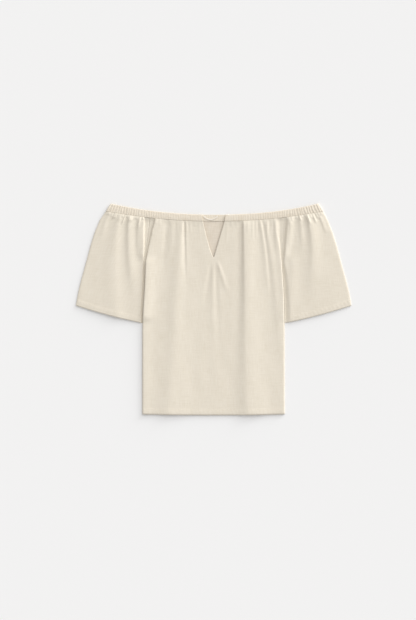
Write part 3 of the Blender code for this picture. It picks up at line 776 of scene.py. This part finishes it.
def band_stations():
    """Shares of the half neckline and turns, 0 on the front and 1 on the back, along the strip."""
    runs = {}
    for side in (-1, 1):
        slit = SLIT_HALF / NECK_REACH[side]
        steps = round((1 - slit) * NECK_REACH[side] / BAND_STEP)
        front_run = [(side * s, 0.0) for s in np.linspace(slit, 1, steps + 1)[:-1]]
        turn_run = [(side * 1.0, t) for t in np.linspace(0, 1, SHOULDER_STEPS + 1)]
        behind = [(side * s, 1.0) for s in np.linspace(1, 0, round(steps * 1.1) + 1)[1:]]
        runs[side] = front_run + turn_run + behind
    return runs[-1] + runs[1][::-1][1:]


def band_ring(share, turned):
    """One closed ring round the strip's section, with the point's share across and its face."""
    half = BAND_TOP / 2
    ring = []
    across = (1 - np.cos(np.linspace(0, math.pi, BAND_PROFILE + 1))) / 2
    for outside in (True, False):
        for down in across if outside else across[::-1]:
            near_edge = max(0, 1 - min(down, 1 - down) * band_width(share) / EDGE_ROUND)
            rounding = BAND_THICK / 2 * (1 - math.sqrt(1 - near_edge**2))
            crown = BAND_CROWN * (2 * down - 1) ** 2
            radius = half - rounding - crown if outside else half - BAND_THICK + rounding
            angle = math.pi * turned
            side = -1 if share < 0 else 1
            x = share * NECK_REACH[side] + band_lean(share) * down + side * math.sin(angle) * radius
            y = neck_edge_y(share) - band_width(share) * down
            z = max(REST_GAP if turned == 1 else 0, half + math.cos(angle) * radius)
            shows = outside == (turned < 0.99)
            ring.append((x, y, z, down, shows))
    return ring


def smooth_strip(name):
    """The casing before it is ruched, as one closed mesh with its stored numbers."""
    stations = band_stations()
    rings = [band_ring(*station) for station in stations]
    count = len(rings[0])
    points = np.array([[p[:3] for p in ring] for ring in rings], dtype=float)
    run = np.r_[0, np.linalg.norm(np.diff(points[:, 0], axis=0), axis=1).cumsum()]
    ends = np.minimum(run, run[-1] - run)
    shows = np.array([[p[4] for p in ring] for ring in rings])
    to_shoulder = np.abs([share for share, _ in stations])
    fullness = LEAST_FULL + (1 - LEAST_FULL) * to_shoulder**3
    faces = []
    for k in range(len(rings) - 1):
        for i in range(count):
            a, b = k * count + i, k * count + (i + 1) % count
            faces.append((a, b, b + count, a + count))
    faces.append(tuple(range(count))[::-1])
    faces.append(tuple((len(rings) - 1) * count + i for i in range(count)))
    mesh = bpy.data.meshes.new(name)
    mesh.from_pydata(points.reshape(-1, 3), [], faces)
    values = {
        "along": np.repeat(run, count),
        "across": np.array([[p[3] for p in ring] for ring in rings]).ravel(),
        "shows": (shows * (ease(ends / (2 * MM)) * fullness)[:, None]).ravel(),
    }
    for key, numbers in values.items():
        stored = mesh.attributes.new(key, "FLOAT", "POINT")
        stored.data.foreach_set("value", numbers.astype(np.float32))
    layer = mesh.uv_layers.new(name="cloth")
    loops = np.empty(len(mesh.loops), dtype=np.int32)
    mesh.loops.foreach_get("vertex_index", loops)
    uv = np.column_stack([values["along"][loops], values["across"][loops] * BAND_WIDTH])
    layer.data.foreach_set("uv", uv.ravel().astype(np.float32))
    bm = bmesh.new()
    bm.from_mesh(mesh)
    bmesh.ops.remove_doubles(bm, verts=bm.verts, dist=0.001 * MM)
    bmesh.ops.recalc_face_normals(bm, faces=bm.faces)
    bm.to_mesh(mesh)
    bm.free()
    mesh.shade_smooth()
    strip = bpy.data.objects.new(name, mesh)
    bpy.context.scene.collection.objects.link(strip)
    print(f"{name}: {len(stations)} stations over {run[-1]:.3f} m")
    return strip


casing = smooth_strip("neckband_casing")

# %% [markdown]
# A node tree is a small machine with named inputs. This one reads the stored numbers and moves each
# point along its normal by a wave of the ruche pitch, bent and broken up by seeded noise so that no
# two ruches are the same. Two shallow furrows hold the rows of stitches that keep the elastic flat.

# %% Node tree that ruches
STITCH_ROWS = (0.30, 0.74)
FURROW_WIDTH = 0.055


def new_tree(name, sockets):
    tree = bpy.data.node_groups.new(name, "GeometryNodeTree")
    tree.interface.new_socket("Geometry", in_out="INPUT", socket_type="NodeSocketGeometry")
    tree.interface.new_socket("Geometry", in_out="OUTPUT", socket_type="NodeSocketGeometry")
    for socket, kind in sockets.items():
        tree.interface.new_socket(socket, in_out="INPUT", socket_type=kind)
    return tree, add(tree, "NodeGroupInput").outputs


def end_tree(tree, geometry, finish_socket):
    real = add(tree, "GeometryNodeRealizeInstances", {"Geometry": geometry}).outputs[0]
    dressing = {"Geometry": real, "Material": finish_socket}
    dressed = add(tree, "GeometryNodeSetMaterial", dressing).outputs[0]
    add(tree, "NodeGroupOutput", {"Geometry": dressed})


def grow(source, tree, values):
    """Runs the tree on the source object and keeps the result as its plain mesh."""
    modifier = source.modifiers.new(tree.name, "NODES")
    modifier.node_group = tree
    for item in tree.interface.items_tree:
        if item.in_out == "INPUT" and item.name in values:
            modifier[item.identifier] = values[item.name]
    return plain_copy(source)


def ruche_tree():
    floats = ("Pitch", "Height", "Unevenness", "Furrow", "Seed")
    sockets = {name: "NodeSocketFloat" for name in floats}
    tree, given = new_tree("ruche the casing", {**sockets, "Cloth": "NodeSocketMaterial"})

    def stored(name):
        kind = "GeometryNodeInputNamedAttribute"
        return add(tree, kind, {"Name": name}, data_type="FLOAT").outputs[0]

    def maths(operation, a, b=0.0):
        return add(tree, "ShaderNodeMath", {0: a, 1: b}, operation=operation).outputs[0]

    def noise(x, y, seed):
        place = add(tree, "ShaderNodeCombineXYZ", {0: x, 1: y, 2: seed}).outputs[0]
        settings = {"Vector": place, "Scale": 1.0, "Detail": 2.0}
        return add(tree, "ShaderNodeTexNoise", settings).outputs["Fac"]

    along, across, shows = stored("along"), stored("across"), stored("shows")
    turns = maths("DIVIDE", along, given["Pitch"])
    slow = noise(maths("MULTIPLY", turns, 0.55), maths("MULTIPLY", across, 0.5), given["Seed"])
    fine = noise(maths("MULTIPLY", turns, 1.3), maths("MULTIPLY", across, 2.2), given["Seed"])
    phase = maths("ADD", turns, maths("MULTIPLY", slow, given["Unevenness"]))
    wave = maths("SINE", maths("MULTIPLY", phase, 2 * math.pi))
    wave = maths("ADD", wave, maths("MULTIPLY", maths("SUBTRACT", fine, 0.5), 2.4))
    crown = maths("POWER", maths("SINE", maths("MULTIPLY", across, math.pi)), 0.45)
    raised = maths("MULTIPLY", maths("MULTIPLY", wave, crown), given["Height"])
    furrows = 0.0
    for row in STITCH_ROWS:
        near = maths("DIVIDE", maths("SUBTRACT", across, row), FURROW_WIDTH)
        dent = maths("EXPONENT", maths("MULTIPLY", maths("POWER", near, 2.0), -1.0))
        furrows = maths("ADD", dent, furrows)
    raised = maths("SUBTRACT", raised, maths("MULTIPLY", furrows, given["Furrow"]))
    raised = maths("MULTIPLY", raised, shows)
    normal = add(tree, "GeometryNodeInputNormal").outputs[0]
    move = add(tree, "ShaderNodeVectorMath", {0: normal, "Scale": raised}, operation="SCALE").outputs[0]
    ruching = {"Geometry": given["Geometry"], "Offset": move}
    moved = add(tree, "GeometryNodeSetPosition", ruching).outputs[0]
    end_tree(tree, moved, given["Cloth"])
    return tree


ruches = {
    "Pitch": 6.7 * MM,
    "Height": 0.6 * MM,
    "Unevenness": 1.6,
    "Furrow": 0.18 * MM,
    "Seed": 7.0,
    "Cloth": casing_cloth,
}
casing = grow(casing, ruche_tree(), ruches)
print("casing faces:", len(casing.data.polygons))

# %% [markdown]
# The hanging loop is a short tape, sewn by its two ends to the middle of the back casing. It lies on
# the casing inside the slit, in a shallow bow. A grid of a few points, bowed by a sine, is enough.

# %% Hanging loop
LOOP_LEFT_X = -29 * MM
LOOP_RIGHT_X = 11 * MM
LOOP_END_Y = 256 * MM
LOOP_SAG = 9 * MM
LOOP_WIDTH = 3 * MM
LOOP_HEIGHT = 4.2 * MM
LOOP_EDGE_DROP = 0.25 * MM

t = np.linspace(0, 1, 41)[None, :]
side_step = np.linspace(0.5, -0.5, 7)[:, None]
loop_x = LOOP_LEFT_X + (LOOP_RIGHT_X - LOOP_LEFT_X) * t + 0 * side_step
loop_y = LOOP_END_Y - LOOP_SAG * np.sin(math.pi * t) + LOOP_WIDTH * side_step
loop_z = LOOP_HEIGHT - LOOP_EDGE_DROP * np.abs(2 * side_step) ** 3 + 0 * t
hanging_loop = cloth_mesh("neck_loop_tape", [np.dstack([loop_x, loop_y, loop_z])], tape)

# %% [markdown]
# Rows of stitches follow lines on the cloth. Each line is a chain of points dropped on the finished
# shells from above: the hem, both cuffs, and the two rows that hold the elastic in its casing.

# %% Lines for the stitches
SINK = 0.05 * MM
ROW_POINTS = 400
ROW_END = 1.5 * MM
TOP_LAYER_LOWEST = 1.5 * MM


def surface_of(piece):
    bm = bmesh.new()
    bm.from_mesh(piece.data)
    tree = BVHTree.FromBMesh(bm)
    bm.free()
    return tree


def dropped(surface, points):
    """The points moved straight down on the surface. A point that misses it is left out."""
    found = []
    for x, y in points:
        place = surface.ray_cast((float(x), float(y), 0.1), (0, 0, -1))[0]
        if place is not None:
            found.append((place[0], place[1], place[2] - SINK))
    return found


def chain_mesh(name, chains):
    """One mesh of edges, with each chain of points a run of its own."""
    vertices, edges = [], []
    for chain in chains:
        first = len(vertices)
        vertices += chain
        edges += [(first + k, first + k + 1) for k in range(len(chain) - 1)]
    mesh = bpy.data.meshes.new(name)
    mesh.from_pydata(vertices, edges, [])
    lines = bpy.data.objects.new(name, mesh)
    bpy.context.scene.collection.objects.link(lines)
    return lines


def sleeve_row(side, from_edge):
    """A row across the top of a sleeve, at one distance from the cuff's edge."""
    grid = sleeve_grids[side]
    lengths = np.linalg.norm(np.diff(grid[..., :2], axis=0), axis=2)
    above = np.vstack([lengths[::-1].cumsum(0)[::-1], np.zeros((1, grid.shape[1]))])
    row = []
    for i in range(grid.shape[1]):
        if grid[-1, i, 2] > TOP_LAYER_LOWEST:
            x = np.interp(from_edge, above[::-1, i], grid[::-1, i, 0])
            y = np.interp(from_edge, above[::-1, i], grid[::-1, i, 1])
            row.append((x, y))
    return sorted(row)


def band_row(down, start, end):
    shares = np.linspace(start, end, ROW_POINTS)
    x = shares * by_side(shares, NECK_REACH) + band_lean(shares) * down
    return list(zip(x, neck_edge_y(shares) - band_width(shares) * down))


hem_left, hem_right = side_x(HEM_CORNER_Y, -1) + ROW_END, side_x(HEM_CORNER_Y, 1) - ROW_END
hem_x = np.linspace(hem_left, hem_right, ROW_POINTS)
hem_row = list(zip(hem_x, hem_y(hem_x) + STITCH_LINE))
casing_surface = surface_of(casing)
panel_chains = {
    "front": [dropped(surface_of(front), hem_row)],
    "sleeve_left": [dropped(surface_of(sleeve_left), sleeve_row(-1, STITCH_LINE))],
    "sleeve_right": [dropped(surface_of(sleeve_right), sleeve_row(1, STITCH_LINE))],
    "neckband": [],
}
for down in STITCH_ROWS:
    for side in (-1, 1):
        slit = SLIT_HALF / NECK_REACH[side]
        row = band_row(down, side * (slit + 0.006), side * 0.998)
        panel_chains["neckband"].append(dropped(casing_surface, row))
print({name: sum(map(len, chains)) for name, chains in panel_chains.items()})

# %% [markdown]
# A second node tree walks along each chain at the stitch pitch and puts a small long bead at each
# step, turned along the line. A bead stands for the thread on top of the cloth between two holes.

# %% Node tree that sews
STITCHING = {"Pitch": 3.0 * MM, "Length": 2.3 * MM, "Width": 0.4 * MM, "Thread": thread}


def stitch_tree():
    floats = ("Pitch", "Length", "Width")
    sockets = {name: "NodeSocketFloat" for name in floats}
    tree, given = new_tree("sew along lines", {**sockets, "Thread": "NodeSocketMaterial"})
    curve = add(tree, "GeometryNodeMeshToCurve", {"Mesh": given["Geometry"]}).outputs[0]
    steps = {"Curve": curve, "Length": given["Pitch"]}
    places = add(tree, "GeometryNodeResampleCurve", steps, mode="LENGTH").outputs[0]
    bead = add(tree, "GeometryNodeMeshIcoSphere", {"Radius": 0.5, "Subdivisions": 1}).outputs[0]
    tangent = add(tree, "GeometryNodeInputTangent").outputs[0]
    turn = add(tree, "FunctionNodeAlignRotationToVector", {"Vector": tangent}, axis="X").outputs[0]
    size = {0: given["Length"], 1: given["Width"], 2: given["Width"]}
    scale = add(tree, "ShaderNodeCombineXYZ", size).outputs[0]
    sewn = {"Points": places, "Instance": bead, "Rotation": turn, "Scale": scale}
    beads = add(tree, "GeometryNodeInstanceOnPoints", sewn).outputs[0]
    end_tree(tree, beads, given["Thread"])
    return tree


sewing = stitch_tree()
stitches = {}
for name, chains in panel_chains.items():
    lines = chain_mesh(f"{name}_stitches", chains)
    stitches[name] = grow(lines, sewing, STITCHING)
    print(name, "stitch faces:", len(stitches[name].data.polygons))

# %% [markdown]
# Every piece now takes the place of its solid.

# %% Fit the pieces in the frame
pieces = {
    "back": (back, "cloth"),
    "front": (front, "cloth"),
    "sleeve_left": (sleeve_left, "cloth"),
    "sleeve_right": (sleeve_right, "cloth"),
    "neckband": (casing, "casing"),
    "neck_loop": (hanging_loop, "tape"),
}
for node, (piece, slot) in pieces.items():
    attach(piece, "root")
    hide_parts(node)
for piece in stitches.values():
    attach(piece, "root")

# %% [markdown]
# The picture is taken from straight above with a long lens. Two soft lights come from the top right,
# so that folds shade to their left: a broad one models the cloth, and a low one draws the long soft
# shadow beside the garment. An even sky fills the rest. The floor is a pale plane a hair below.

# %% Camera, floor and light
FLOOR_DROP = 0.2 * MM
PICTURE_HEIGHT = 1.705
LENS = 85
SENSOR = 36
PICTURE_MIDDLE = (-0.0157, -0.0014)

bpy.ops.mesh.primitive_plane_add(size=12, location=(0, 0, -FLOOR_DROP))
floor = bpy.context.object
floor.name = "floor"
paper = bpy.data.materials.new("matt white paper")
paper.use_nodes = True
paper_shader = paper.node_tree.nodes["Principled BSDF"]
paper_shader.inputs["Base Color"].default_value = linear("#F2F2F1")
paper_shader.inputs["Roughness"].default_value = 1
paper_shader.inputs["Specular IOR Level"].default_value = 0
floor.data.materials.append(paper)

camera_data = bpy.data.cameras.new("camera")
camera_data.lens = LENS
camera_data.sensor_width = SENSOR
camera = bpy.data.objects.new("camera", camera_data)
camera.location = (*PICTURE_MIDDLE, PICTURE_HEIGHT * LENS / SENSOR)
bpy.context.scene.collection.objects.link(camera)
bpy.context.scene.camera = camera


def soft_sun(name, energy, spread, toward):
    data = bpy.data.lights.new(name, "SUN")
    data.energy = energy
    data.angle = math.radians(spread)
    light = bpy.data.objects.new(name, data)
    light.rotation_euler = Vector(toward).to_track_quat("Z", "Y").to_euler()
    bpy.context.scene.collection.objects.link(light)
    return light


window = soft_sun("soft window", 2.1, 60, (0.65, 0.65, 0.42))
low_window = soft_sun("low window", 1.7, 18, (0.70, 0.70, 0.14))

world = bpy.data.worlds.new("even sky")
world.use_nodes = True
sky = world.node_tree.nodes["Background"]
sky.inputs["Color"].default_value = linear("#FDFCFD")
sky.inputs["Strength"].default_value = 0.66
bpy.context.scene.world = world
bpy.context.scene.view_settings.view_transform = "Standard"
